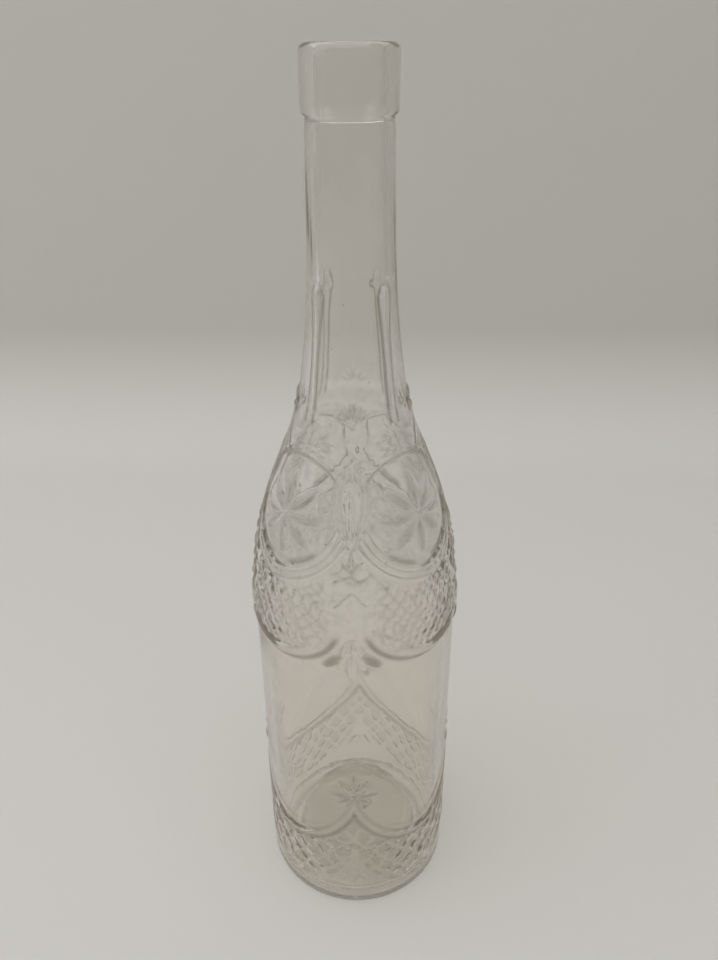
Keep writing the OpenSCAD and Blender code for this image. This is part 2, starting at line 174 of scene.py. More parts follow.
# Palmettes on the cusps: foot height, leaf width, rise, gap round the middle, then the turn and length
# of each leaf
palmettes = {
    "drooping": (zDiamond + 25, 2.6, 0.9, 2.5, [(180, 18), (166, 13), (194, 13)]),
    "sideDrops": (zDiamond + 18.5, 3.0, 1.3, 3.6, [(129, 9), (231, 9)]),
    "rising": (zPlain + 4, 2.7, 0.6, 1,
               [(0, 10.5), (33, 8.3), (-33, 8.3), (86, 8), (-86, 8), (126, 6), (-126, 6)]),
    "heelFan": (zBand + 16, 2.4, 0.7, 2, [(180, 8), (150, 9), (210, 9)]),
    "neckFan": (zFlute + 3.2, 1.7, 0.8, 1.9, [(4, 5), (27, 4.5), (-27, 4.5), (54, 4.5), (-54, 4.5)]),
    "bossR": 1.7, "bossRise": 0.9,          # the small round boss under the neck's fan
}


def palmetteHeights(phi, z):
    h = np.zeros(np.broadcast(phi, z).shape)
    for k in range(wall["panels"]):
        cusp = k * panelDeg
        faint = wall["backFaint"] if k == 1 else 1
        for name in ("drooping", "sideDrops", "rising", "heelFan", "neckFan"):
            foot, wide, rise, gap, leaves = palmettes[name]
            share = faint if name == "neckFan" else 1
            h = np.maximum(h, share * fanHeights(phi, z, cusp, foot, leaves, wide, rise, gap))
        foot = palmettes["neckFan"][0]
        away = np.hypot(((phi - cusp + 180) % 360 - 180) * math.pi / 180 * plainRadius(foot), z - foot)
        h = np.maximum(h, faint * palmettes["bossRise"] * ridge(away, palmettes["bossR"]))
    return h


# Four-sided cells, counted in half cells; the more they swell, the more they look like pillows
def diamondHeights(across, down, peak, valley, swell=1.0):
    p, q = (across + down) / 2, (across - down) / 2
    edge = 2 * np.maximum(np.abs(p - np.round(p)), np.abs(q - np.round(q)))
    return valley + (peak - valley) * (1 - edge**swell)


wander = {"waves": 9, "turns": (1, 7), "tall": (18, 90), "start": (0, 6.3), "share": 0.25}


def slowWaves(phi, z, seed, scale=1.0):       # the same uneven waves on each run
    draw = np.random.default_rng(seed)
    total = np.zeros(np.broadcast(phi, z).shape)
    for _ in range(wander["waves"]):
        turns = draw.integers(*wander["turns"])
        tall = draw.uniform(*wander["tall"]) * scale
        start = draw.uniform(*wander["start"])
        total = total + np.sin(np.radians(phi) * turns + z / tall * 2 * math.pi + start)
    return total * wander["share"]


# Upper diamonds: scalloped lobes with a smooth rim, finer in the lobes and broader on the cusps
diamonds = {
    "cellsUp": 12, "cellHigh": 5.0, "peak": 1.5, "valley": 0.75, "cuspPeak": 0.1,
    "swell": (1.4, 2.4), "swellOver": (0.25, 0.7),              # the cells swell more towards the cusps
    "broader": 0.35,          # how much wider and taller the cells are near a cusp
    "uneven": 0.45,           # how far the cells wander, in half cells
    "rimWide": 3.6, "rimSoft": (-0.4, 0.6), "rimRise": 1.4, "rimFall": 0.25,
    "rimSlope": (3.0, 1.6),   # how wide its outer slope is, and how hollow
    "rimThin": 0.4, "thinOver": (44, 30), "runOut": (3, -2),    # the rim thins and runs out up the cusp
    "groove": (0.35, 0.3, 0.8),                                 # inside the rim: depth, place, half width
    "lobeHalf": 36.0, "lobeDeep": 14.0, "lobeUp": 12.0,
    # The plain arch between the lobes: height, and half its width in degrees
    "arch": [(26, 9.0), (28, 7.0), (30, 7.6), (32.5, 8.7), (35, 7.4), (39.7, 0)], "archLean": 0.85,
}


def lobeReach(z, t, wallR):       # mm inside the lobe's edge
    d = diamonds
    u, v = t / d["lobeHalf"], (zDiamond + d["lobeUp"] + d["lobeDeep"] - z) / d["lobeDeep"]
    reach = np.sqrt(u * u + v * v)
    steep = np.sqrt((u / (d["lobeHalf"] * math.pi / 180 * wallR))**2 + (v / d["lobeDeep"])**2) + 1e-6
    return (1 - reach) * reach / steep


def lobeCells(phi, z, t, low, high):
    d = diamonds
    x = t / halfDeg           # 0 in the middle of the lobe, 1 on the cusp
    across = d["cellsUp"] * (x + d["broader"] * (x - x * x)) + d["uneven"] * slowWaves(phi * 3, z * 3, 21)
    rowHigh = d["cellHigh"] / 2 * (1 + d["broader"] * x**3)
    down = (zMedal - z) / rowHigh + d["uneven"] * slowWaves(phi * 3, z * 3, 22)
    swell = d["swell"][0] + (d["swell"][1] - d["swell"][0]) * smoothStep(*d["swellOver"], x)
    return diamondHeights(across, down, high, low, swell)


def diamondZone(phi, z, c, t, wallR):
    d = diamonds
    ends = zDiamond + d["lobeUp"] + d["lobeDeep"]
    mmPerDeg = math.pi / 180 * wallR
    archHalf = np.interp(z - zDiamond, [h for h, _ in d["arch"]], [w for _, w in d["arch"]])
    inside = np.where(z < ends, lobeReach(z, t, wallR), (c - archHalf) * mmPerDeg * d["archLean"])
    field = lobeCells(phi, z, t, d["valley"], d["peak"] + d["cuspPeak"] * t / halfDeg)
    lowPart = stepNear(ends, d["runOut"], z)
    rimWide = d["rimThin"] + (d["rimWide"] - d["rimThin"]) * lowPart * smoothStep(*d["thinOver"], t)
    rim = d["rimRise"] - d["rimFall"] * smoothStep(0.5, d["rimWide"], inside)
    rim = rim * lowPart + d["valley"] * (1 - lowPart)
    h = rim + (field - rim) * stepNear(rimWide, d["rimSoft"], inside)
    deep, place, half = d["groove"]
    h = h - deep * ridge(inside - rimWide - place, half) * lowPart
    slopeWide, hollow = d["rimSlope"]
    foot = d["rimRise"] * lowPart * np.clip(1 + inside / slopeWide, 0, 1)**hollow
    return np.where(inside > 0, h, foot)


# Medallions: outer ridge, smooth ribbon, two thin inner ridges, swelling face and its star
medal = {
    "outerR": 24.6, "innerR": 18.7, "innerGap": 2.3, "ridgeRise": 1.2, "ridgeHalf": 1.1,
    "innerHalf": 0.65, "secondHalf": 0.6, "secondShare": 0.85,  # the two thin ridges
    "ribbonRise": 0.6, "domeRise": 1.6,
    "petals": 8, "petalLong": 12.6, "petalWide": 4.0, "petalRise": 0.45, "petalGap": 1.0,
    "spindleUp": 2.0, "spindleTall": 8.5, "spindleWide": 1.8, "spindleRise": 0.3,
    "faceSoft": (-0.8, 0.3), "crossSoft": (-0.6, 0.8),          # how softly the face and the ridges end
    "topFade": 0.6, "thinFade": (-13, -6), "outerFade": (-13, -4),    # the ridges sink near the neck
    "hollow": 0.4, "hollowIn": 2.0, "hollowHalf": 1.2,          # just inside the thin ridges
    "hollowFrom": (8, 18), "hollowTo": (52, 40),                # its ends, in turns from straight below
}


def medalZone(phi, z, c, t, wallR, h):
    m = medal
    mmPerDeg = math.pi / 180 * wallR
    up = (z - zStar) / lean
    own = np.hypot(t * mmPerDeg, up)
    other = np.hypot((panelDeg - t) * mmPerDeg, up)

    # The face, its hollow, the ribbon round it and the thin ridges between them
    face = m["domeRise"] * np.clip(1 - (own / m["innerR"])**2, 0, 1)
    fromBelow = np.degrees(np.arctan2(t, -up / mmPerDeg))
    face = face - (m["hollow"] * ridge(own - m["innerR"] + m["hollowIn"], m["hollowHalf"])
                   * smoothStep(*m["hollowFrom"], fromBelow) * smoothStep(*m["hollowTo"], fromBelow))
    bodyH = face + (m["ribbonRise"] - face) * stepNear(m["innerR"], m["faceSoft"], own)
    thin = np.maximum(ridge(own - m["innerR"], m["innerHalf"]),
                      m["secondShare"] * ridge(own - m["innerR"] - m["innerGap"], m["secondHalf"]))
    keepThin = stepNear(m["outerR"], m["crossSoft"], other)
    keepThin = keepThin * (1 - m["topFade"] * stepNear(zFlute, m["thinFade"], z))
    bodyH = bodyH + thin * keepThin * (m["ridgeRise"] - m["ribbonRise"])
    collar = flutes["collarRise"] * stepNear(zFlute, flutes["collarOver"], z)
    h = np.where(own < m["outerR"], bodyH, np.where((z > zStar) & (z < zFlute + 0.01), collar, h))

    # The outer ridges, which run over each other at the cusps, and the spindle between them
    ridges = np.maximum(ridge(own - m["outerR"], m["ridgeHalf"]),
                        ridge(other - m["outerR"], m["ridgeHalf"]))
    near = (z > zMedal - 6) & (z < zFlute + 1)
    keepTop = 1 - m["topFade"] * stepNear(zFlute, m["outerFade"], z)
    h = np.where(near, np.maximum(h, m["ridgeRise"] * ridges * keepTop), h)
    both = (own < m["outerR"]) & (other < m["outerR"])
    half = m["spindleWide"] / 2 * np.clip(1 - ((z - zStar - m["spindleUp"]) / m["spindleTall"])**2, 0, 1)
    spindle = np.clip(1 - (c * mmPerDeg / np.maximum(half, 1e-6))**2, 0, 1)
    h = np.where(both, np.maximum(h, m["ribbonRise"] + m["spindleRise"] * spindle), h)

    petals = [(p * 360 / m["petals"], m["petalLong"]) for p in range(m["petals"])]
    for k in range(wall["panels"]):
        h = h + fanHeights(phi, z, halfDeg + k * panelDeg, zStar, petals,
                           m["petalWide"], m["petalRise"], m["petalGap"])
    return h


# Lower band: a smooth ribbon between two lines, diamonds, and lobes over the plain heel
lowBand = {
    "cells": 7, "cellHigh": 9.0, "peak": 0.45, "valley": -0.1,
    "uneven": 0.25,           # how far the cells wander, in half cells
    "lineFrom": 0.45,         # where the lines between the cells begin, from a cell's middle to its edge
    "rimWide": 1.8, "rimSoft": (-0.3, 0.5), "rimRise": 0.4, "rimEdge": (-0.7, 0.3),
    "ribbonUp": 26.4, "ribbonArc": (50, 34), "ribbonRise": 0.42,
    "ribbonWide": (3.7, 0.8),           # straight up, and how much of that is square to its line
    "ribbonFoot": (0.9, -0.7), "ribbonTop": (-1.2, 1.2), "ribbonGap": (0.4, 2.0),
    "heelUp": 1.0, "heelArc": (47, 32),
}


def lowLines(z, t, wallR):        # mm above the heel's scallops, and below the ribbon's line
    b = lowBand
    ribbonLine = zBand + b["ribbonUp"] + arcRise(t, *b["ribbonArc"])
    heelLine = zBand + b["heelUp"] + arcRise(t, *b["heelArc"])

    def square(half, high):   # turns distance straight up into distance square to the line
        share = t / half
        slope = high / (half * math.pi / 180 * wallR) * share / np.sqrt(np.clip(1 - share**2, 0.02, 1))
        return 1 / np.sqrt(1 + slope**2)

    return (z - heelLine) * square(*b["heelArc"]), (ribbonLine - z) * square(*b["ribbonArc"])


def lowField(phi, z, t):      # 0 in the middle of each cell, 1 on the lines between them
    b = lowBand
    across = t / (halfDeg / b["cells"]) + b["uneven"] * slowWaves(phi * 3, z * 3, 31)
    down = (zPlain - z) / (b["cellHigh"] / 2) + b["uneven"] * slowWaves(phi * 3, z * 3, 32)
    return smoothStep(b["lineFrom"], 1, diamondHeights(across, down, 0, 1))


def lowZone(phi, z, t, wallR, h):
    b = lowBand
    fromHeel, fromRibbon = lowLines(z, t, wallR)
    field = b["valley"] + (b["peak"] - b["valley"]) * lowField(phi, z, t)
    rim = b["rimRise"] * smoothStep(*b["rimEdge"], fromHeel)
    inner = rim + (field - rim) * stepNear(b["rimWide"], b["rimSoft"], fromHeel)
    inner = inner * smoothStep(*b["ribbonGap"], fromRibbon)
    upward, share = b["ribbonWide"]
    above = fromRibbon + upward * share
    lines = b["ribbonRise"] * smoothStep(*b["ribbonFoot"], fromRibbon) * smoothStep(*b["ribbonTop"], above)
    inField = (fromRibbon > 0) & (fromHeel > b["rimEdge"][0])
    low = np.where(inField, inner, 0) + lines
    low = np.where(h > 0, np.maximum(low, h), low)
    return np.where((z > zBand - 1) & (z < zPlain + 1), low, h)


# Flutes: broad panels between ribs that taper downwards; heights are counted from the ribs' top
flutes = {
    "ribRise": 0.6, "ribLow": 0.4, "ribGrows": (-17, -6), "ribEnds": (-1.2, -4.5),
    "ribHalf": [(-47, 5), (-25, 5), (-16, 6.2), (-9, 9.2), (-5.5, 10.5), (-2.8, 6), (-1.5, 0.5)],
    "collarRise": 0.4, "collarOver": (-14, -4), "footUp": 3.5, "footSoft": (1.8, -1.6),
    "cornerWide": 15.0, "cornerHigh": 7.0,
    "shelf": 0.25, "shelfAt": -1.6, "shelfHalf": 1.2, "shelfOver": (26, 12),
}


def ribWidth(z):
    return np.interp(z - zNeck, [k for k, _ in flutes["ribHalf"]], [w for _, w in flutes["ribHalf"]])


def fluteZone(z, t, h):
    f = flutes
    half = ribWidth(z)
    rise = f["ribLow"] + (f["ribRise"] - f["ribLow"]) * stepNear(zNeck, f["ribGrows"], z)
    rib = rise * np.clip(1 - (t / half)**2, 0, 1)**1.2 * stepNear(zNeck, f["ribEnds"], z)
    corner = np.clip((f["cornerWide"] - t) / f["cornerWide"], 0, 1)
    foot = zFlute + f["footUp"] + f["cornerHigh"] * (1 - np.sqrt(1 - corner**2))
    below = f["collarRise"] * stepNear(foot, f["footSoft"], z)
    shelf = f["shelf"] * ridge(z - (zNeck + f["shelfAt"]), f["shelfHalf"])
    shelf = shelf * smoothStep(*f["shelfOver"], t)
    neck = np.maximum(np.maximum(rib, np.maximum(below, shelf)), h)
    return np.where((z > zFlute - 0.01) & (z < zNeck), neck, h)


def patternHeights(phi, z):
    wallR = plainRadius(z)
    q = phi % panelDeg
    c = np.minimum(q, panelDeg - q)           # degrees from the nearest cusp
    t = halfDeg - c                           # and from the middle of the lobe
    leaves = palmetteHeights(phi, z)
    upper = np.where((z > zDiamond + 1) & (z < zStar), diamondZone(phi, z, c, t, wallR), 0)
    h = medalZone(phi, z, c, t, wallR, np.maximum(upper, 0))
    h = np.where(z < zStar, np.maximum(h, leaves * (z < zMedal)), h)
    h = lowZone(phi, z, t, wallR, h)
    return fluteZone(z, t, np.maximum(h, leaves * (z > zFlute - 1)))


# The pattern is worked out once on an even grid, then rounded as the mould left it
mapStep = 0.4
mapHeights = np.arange(0, zNeck + mapStep, mapStep)
mapTurns = np.arange(wall["fineCols"]) * 360 / wall["fineCols"]
rawMap = patternHeights(*np.meshgrid(mapTurns, mapHeights))


def softened(field, sigma):
    colMm = 2 * math.pi * 30 / field.shape[1]         # at a middling radius
    fz = np.fft.fftfreq(field.shape[0], mapStep)[:, None]
    fa = np.fft.fftfreq(field.shape[1], colMm)[None, :]
    blur = np.exp(-2 * math.pi**2 * sigma**2 * (fz**2 + fa**2))
    return np.real(np.fft.ifft2(np.fft.fft2(field) * blur))


outerMap = softened(rawMap, wall["edgeSoft"])
innerMap = softened(rawMap, wall["innerSoft"]) * wall["innerShare"]


def rowOf(field, z):
    k = min(max(z / mapStep, 0), field.shape[0] - 1.001)
    low = int(k)
    return field[low] * (1 - k + low) + field[low + 1] * (k - low)


# Painted shade: darker under the relief's edges, beside them, in the hollows, on the leaves and along the
# lines, where the glass bends light away; handling has worn the crests
marks = {
    "soft": 0.5,              # how softly the marks follow the relief, in mm
    "under": (0.08, 0.6, 0.9), "beside": (0.15, 0.8, 0.35), "hollow": (0.1, 0.9, 0.3),  # from, to, strength
    "crest": (0.15, 1.1),     # how sharp a crest has to be to be worn
    "petal": 0.5, "drop": 0.9, "leaf": (0.85, 0.4), "fan": 0.35,
    "scale": (0.5, 0.9, 0.7), "scaleUnder": 0.6,      # the lines between the lobes' cells
    "lobeFoot": (0.7, 1.6),                           # the painted shade line round the foot of each lobe
    "stroke": (2, 1.3, 0.6),                          # inside the medallions: place, half width, strength
    "strokeFrom": (6, 16), "strokeTo": (55, 42),      # its ends, in turns from straight below
    "ribbon": (0.4, 1.5, 0.85), "ribbonTop": (3.4, 1.2, 0.45), "cell": 0.34,
    "rib": (3.0, 0.85), "heel": 0.1,
    "calm": 0.15,             # what is left of them on the plain arch, and nearly so on the spindle
    "archSides": (17, 12), "archFoot": (-6, -1), "archTop": (7, 4),
    "spindleSides": (13, 10), "spindleFoot": (-8, -4), "spindleTop": (0, -6), "spindleShare": 0.8,
    "paintedShadeSoft": 0.25, "wornSoft": 0.3,
}


def under(field, level):
    low, high, most = level
    return most * smoothStep(low, high, field)


def pastMedal(z, t, wallR):       # mm outside the medallions
    mmPerDeg = math.pi / 180 * wallR
    up = (z - zStar) / lean
    own, other = np.hypot(t * mmPerDeg, up), np.hypot((panelDeg - t) * mmPerDeg, up)
    return np.minimum(own, other) - medal["outerR"]


def markMaps():
    m = marks
    soft = softened(rawMap, m["soft"])
    slopeUp = np.gradient(soft, mapStep, axis=0)
    colMm = 2 * math.pi * np.maximum(plainRadius(mapHeights), 1)[:, None] / wall["fineCols"]
    ahead, behind = np.roll(soft, -1, 1), np.roll(soft, 1, 1)
    slopeRound = (ahead - behind) / 2 / colMm
    bend = np.gradient(slopeUp, mapStep, axis=0) + (ahead - 2 * soft + behind) / colMm**2
    phi, z = np.meshgrid(mapTurns, mapHeights)
    wallR = plainRadius(z)
    c = np.minimum(phi % panelDeg, panelDeg - phi % panelDeg)
    t = halfDeg - c
    ends = zDiamond + diamonds["lobeUp"] + diamonds["lobeDeep"]

    # Painted shade under, beside and in the hollows of all the relief, but less on the plain arch and the
    # spindle
    paintedShade = under(slopeUp, m["under"]) + under(np.abs(slopeRound), m["beside"]) + under(bend, m["hollow"])
    onArch = (smoothStep(*m["archSides"], c) * stepNear(ends, m["archFoot"], z)
              * stepNear(zMedal, m["archTop"], z))
    onSpindle = (smoothStep(*m["spindleSides"], c) * stepNear(zStar, m["spindleFoot"], z)
                 * stepNear(zFlute, m["spindleTop"], z))
    paintedShade = paintedShade * (1 - (1 - m["calm"]) * np.maximum(onArch, m["spindleShare"] * onSpindle))

    # Painted shade on the petals and the palmettes
    def leaves(name, rise, only=None):
        foot, wide, _, gap, shapes = palmettes[name]
        shapes = [shapes[k] for k in only] if only else shapes
        return sum(fanHeights(phi, z, k * panelDeg, foot, shapes, wide, rise, gap)
                   for k in range(wall["panels"]))

    star = [(p * 360 / medal["petals"], medal["petalLong"]) for p in range(medal["petals"])]
    for k in range(wall["panels"]):
        paintedShade = paintedShade + fanHeights(phi, z, halfDeg + k * panelDeg, zStar, star,
                                   medal["petalWide"], m["petal"], medal["petalGap"])
    paintedShade = paintedShade + leaves("sideDrops", m["drop"]) + leaves("neckFan", m["fan"])
    side, upright = m["leaf"]
    paintedShade = paintedShade + leaves("rising", side, (3, 4, 5, 6)) + leaves("rising", upright, (0, 1, 2))

    # Painted shade on the lines between the lobes' cells, and the painted shade line under each lobe
    reach = lobeReach(z, t, wallR)
    field = 1 - lobeCells(phi, z, t, 0, 1)
    lines = under(field, m["scale"]) * (1 + m["scaleUnder"] * np.sign(np.gradient(-field, axis=0)))
    inField = smoothStep(diamonds["rimWide"], diamonds["rimWide"] + 1, reach) * (z < ends) + (z >= ends)
    inField = inField * (z > zDiamond) * (z < zStar - 6) * (pastMedal(z, t, wallR) > 0) * (1 - onArch)
    paintedShade = paintedShade + lines * inField * (0.6 + 0.4 * smoothStep(0.3, 0.8, t / halfDeg))
    place, half = m["lobeFoot"]
    paintedShade = paintedShade + ridge(reach + place, half) * smoothStep(ends - 0.5, ends - 5, z) * (z > zDiamond - 4)

    # Short strokes of painted shade inside the medallions' ridge, towards the cusps
    own = np.hypot(t * math.pi / 180 * wallR, (z - zStar) / lean)
    turned = np.degrees(np.arctan2(t * math.pi / 180 * wallR, (zStar - z) / lean))
    place, half, most = m["stroke"]
    paintedShade = paintedShade + (most * ridge(own - medal["innerR"] + place, half)
                     * smoothStep(*m["strokeFrom"], turned) * smoothStep(*m["strokeTo"], turned))

    # Painted shade on the lower band's ribbon and cells and on the sides of the ribs, and darker towards
    # the heel
    fromHeel, fromRibbon = lowLines(z, t, wallR)
    place, half, most = m["ribbon"]
    paintedShade = paintedShade + most * ridge(fromRibbon - place, half) * (z > zBand)
    place, half, most = m["ribbonTop"]
    paintedShade = paintedShade + most * ridge(fromRibbon + place, half) * (z > zBand) * (z < zPlain + 15)
    inCells = 1 - lowField(phi, z, t)
    paintedShade = paintedShade + m["cell"] * inCells * smoothStep(0.5, 2, fromRibbon) * smoothStep(0, 1, fromHeel)
    half, most = m["rib"]
    paintedShade = paintedShade + (most * ridge(t - ribWidth(z), half) * smoothStep(zNeck - 1, zNeck - 4, z)
                     * (z > zFlute + 2))
    paintedShade = paintedShade + m["heel"] * smoothStep(11, 5, z)
    worn = smoothStep(m["crest"][0], m["crest"][1], -bend)
    return softened(np.clip(paintedShade, 0, 1), m["paintedShadeSoft"]), softened(worn, m["wornSoft"])


paintedShadeMap, wornMap = markMaps()
print("Pattern worked out: rows", len(mapHeights))


def ringRow(radii, heights, cols):
    a = np.radians(np.arange(cols) * 360 / cols)
    radii = np.broadcast_to(radii, (cols,))
    heights = np.broadcast_to(heights, (cols,))
    return np.stack([radii * np.cos(a), radii * np.sin(a), heights], 1)


def rowsBetween(z0, z1, step):
    n = max(1, int(round((z1 - z0) / step)))
    return list(z0 + (z1 - z0) * np.arange(1, n + 1) / n)


def arcPoints(cx, cz, r, a0, a1, n):
    return [(cx + r * math.cos(math.radians(a)), cz + r * math.sin(math.radians(a)))
            for a in np.linspace(a0, a1, n + 1)]


# The base: heel, resting ring and the pushed-up floor, as outlines of (radius, height)
base = {
    "heelRound": 4.0, "ringWide": 4.4, "puntHigh": 14.5, "puntTopR": 18.0,
    "floorThick": 6.0, "innerCorner": 3.0, "insideFootR": 28.4, "insideTopR": 20.0,
    "swell": 0.7,             # how much the punt's top is domed
    "uneven": 0.03,
    "softRise": 1.6,          # how gently the floor begins to rise
    "underRings": (3, 6, 9, 12, 15), "floorRings": (17, 14, 11, 8, 5, 2.5),
}
lip = {
    "shoulder": [(12.55, 0.15), (12.75, 0.45), (13.0, 0.8)],   # radius, and height above the lip's foot
    "bevel": 1.3, "rimRound": 2.1, "mouthRound": 0.9,
    "toolWave": 0.05, "waveFrom": 12.8,                         # the slight waves that the lip tool left
}


def puntOutline(lowR, highR, lowZ, n):
    s = np.arange(n + 1) / n
    return [(lowR + (highR - lowR) * a, lowZ + base["puntHigh"] * a * a * (3 - 2 * a)) for a in s]


def innerPunt(lowR, highR, lowZ, n):          # rises softly from the floor to one rounded edge
    s = np.arange(n + 1) / n
    rise = [a**base["softRise"] - 0.05 * ridge(a - 1, 0.2) for a in s]
    return [(lowR + (highR - lowR) * a, lowZ + base["puntHigh"] * up) for a, up in zip(s, rise)]


# Every ring of the skin as (zone, columns, points), and its height where it carries the marks: up the
# outside from under the punt, over the lip, and down the inside to the floor
def skinRings():
    fine, coarse = wall["fineCols"], wall["coarseCols"]
    phi, phiIn = mapTurns, mapTurns[::fine // coarse]
    rings = []

    # Under the punt, over the resting ring and round the heel
    heelR = bodyR - base["heelRound"]
    wobble = base["uneven"] * slowWaves(phiIn, 0 * phiIn, 5)
    for r in base["underRings"]:
        z = base["puntHigh"] + base["swell"] * (1 - (r / base["puntTopR"])**2)
        rings.append((0, coarse, ringRow(r, z, coarse)))
    for r, z in puntOutline(heelR - base["ringWide"], base["puntTopR"], 0, 16)[::-1]:
        rings.append((0, coarse, ringRow(r + wobble * ridge(z - 7, 7), z, coarse)))
    for r in np.linspace(heelR - base["ringWide"], heelR, 4)[1:]:
        rings.append((0, fine, ringRow(r, 0, fine)))
    for r, z in arcPoints(heelR, base["heelRound"], base["heelRound"], -90, 0, 12)[1:]:
        rings.append((0, fine, ringRow(r, z, fine)))
    for z in rowsBetween(base["heelRound"], zBand, 0.8):
        radii = plainRadius(z) + rowOf(outerMap, z) * smoothStep(4, zBand, z)
        rings.append((0, fine, ringRow(radii, z, fine), z))

    # Up the patterned outside
    begin, end = wall["outerFade"]
    for zone, z0, z1, step in wall["outerSpans"]:
        for z in rowsBetween(z0, z1, step):
            fade = smoothStep(*begin, z) * stepNear(zTop, end, z)
            pattern = rowOf(outerMap, z) * stepNear(zNeck, wall["outerEnds"], z)
            radii = plainRadius(z) + pattern + wall["ripple"] * fade * slowWaves(phi, z, 3)
            rings.append((zone, fine, ringRow(radii, z, fine), z))

    # Over the lip
    wave = lip["toolWave"] * slowWaves(phi, 0 * phi, 11)
    outline = [(r, zLip + up) for r, up in lip["shoulder"]] + [(lipR - 0.08, zLip + lip["bevel"])]
    outline += [(lipR, z) for z in rowsBetween(zLip + lip["bevel"], zTop - lip["rimRound"], 1.5)]
    outline += arcPoints(lipR - lip["rimRound"], zTop - lip["rimRound"], lip["rimRound"], 0, 90, 8)[1:]
    boreR, mouthR = wall["mouthBore"] / 2, lip["mouthRound"]
    outline += [(r, zTop) for r in np.linspace(lipR - lip["rimRound"], boreR + mouthR, 3)[1:]]
    outline += arcPoints(boreR + mouthR, zTop - mouthR, mouthR, 90, 180, 4)[1:]
    for r, z in outline:
        rings.append((7, fine, ringRow(r + wave * (r > lip["waveFrom"]), z, fine)))

    # Down the inside
    corner = ridge((phiIn % panelDeg) - halfDeg, 9)
    begin, end = wall["innerFade"]
    for zone, z0, z1, step in wall["innerSpans"]:
        heights = [z0 - (z - z1) for z in ([z1] if zone == 7 else []) + rowsBetween(z1, z0, step)]
        for z in heights:
            fade = smoothStep(*begin, z) * stepNear(zTop, end, z)
            pattern = rowOf(innerMap, z)[::fine // coarse] * stepNear(zNeck, wall["innerEnds"], z)
            body = smoothStep(*wall["cornerFrom"], z) * smoothStep(zMedal, zDiamond, z)
            uneven = wall["innerRipple"] * fade * slowWaves(phiIn, z, 7, 1.6)
            uneven = uneven + wall["cornerSink"] * corner * body
            inNeck = stepNear(zNeck, wall["streaksFrom"], z)
            uneven = uneven + wall["boreStreaks"] * inNeck * slowWaves(phiIn * 7, z * 0.6, 17)
            uneven = uneven + 3 * wall["boreStreaks"] * inNeck * slowWaves(phiIn, z * 1.5, 19)
            rings.append((zone, coarse, ringRow(innerRadius(z) + pattern + uneven, z, coarse)))

    # The floor over the punt
    cornerR = bodyR - wall["bodyWall"] - base["innerCorner"]
    cornerZ = base["floorThick"] + base["innerCorner"]
    for r, z in arcPoints(cornerR, cornerZ, base["innerCorner"], 0, -90, 6)[1:]:
        rings.append((0, coarse, ringRow(r, z, coarse)))
    for r, z in innerPunt(base["insideFootR"], base["insideTopR"], base["floorThick"], 20):
        rings.append((0, coarse, ringRow(r + wobble * ridge(z - 13, 7), z, coarse)))
    for r in base["floorRings"]:
        z = base["puntHigh"] + base["floorThick"] + base["swell"] * (1 - (r / base["insideTopR"])**2)
        rings.append((0, coarse, ringRow(r, z, coarse)))
    return rings


def stitch(startA, colsA, startB, colsB):     # faces from ring A up to ring B, seen from outside
    if colsA == colsB:
        i = np.arange(colsA)
        j = (i + 1) % colsA
        return np.stack([startA + i, startA + j, startB + j, startB + i], 1).tolist()
    made = []
    many, few = max(colsA, colsB), min(colsA, colsB)
    ratio = many // few
    manyStart, fewStart = (startA, startB) if colsA > colsB else (startB, startA)
    for k in range(few):
        nextFew = (k + 1) % few
        tris = []
        for s in range(ratio):
            p, q = (k * ratio + s) % many, (k * ratio + s + 1) % many
            tris.append([manyStart + p, manyStart + q, fewStart + (k if s < ratio // 2 else nextFew)])
        tris.append([manyStart + (k * ratio + ratio // 2) % many, fewStart + nextFew, fewStart + k])
        made += tris if colsA > colsB else [tri[::-1] for tri in tris]
    return made


print("Working out the skin")
rings = skinRings()
coarse = wall["coarseCols"]
starts = np.cumsum([0] + [ring[1] for ring in rings])
total = int(starts[-1])
crownUnder = base["puntHigh"] + base["swell"]
crownOver = base["puntHigh"] + base["floorThick"] + base["swell"]
crowns = [[0, 0, crownUnder], [0, 0, crownOver]]
points = np.concatenate([ring[2] for ring in rings] + [crowns]) * mm


def onSkin(kind):             # the strength of one kind of mark at each point
    found = [rowOf(kind, ring[3]) * (ring[3] < zNeck) if len(ring) > 3 else np.zeros(ring[1])
             for ring in rings]
    return np.concatenate(found + [np.zeros(len(crowns))])


# Painted shade and worn crests at each point of the skin
paintedShade, worn = onSkin(paintedShadeMap), onSkin(wornMap)
faces, faceZones = [], []
for k in range(len(rings) - 1):
    made = stitch(int(starts[k]), rings[k][1], int(starts[k + 1]), rings[k + 1][1])
    faces += made
    faceZones += [rings[k + 1][0]] * len(made)
for i in range(coarse):
    j = (i + 1) % coarse
    last = int(starts[-2])
    faces += [[i, j, total], [total + 1, last + i, last + j]]
    faceZones += [0, 0]
print("Skin:", len(points), "points", len(faces), "faces")


# Bubbles in the wall: turn, height, length and width of those that the photo shows, then more all round
bubbles = {
    "seen": [(-84.6, 193.6, 2.8, 1.2), (-105.7, 165.8, 0.8, 0.7), (-54.7, 164.9, 0.9, 0.8),
             (-84.4, 160.4, 0.8, 0.7), (-70.0, 159.7, 0.7, 0.6), (-131.8, 180.7, 1.6, 1.0)],
    "more": 26, "moreTurns": (-55, 235), "moreWide": (0.3, 0.8), "moreLong": (1, 1.8),
    "deep": 1.3,              # how far under the outer face
    "cols": 10, "rows": 7,
}


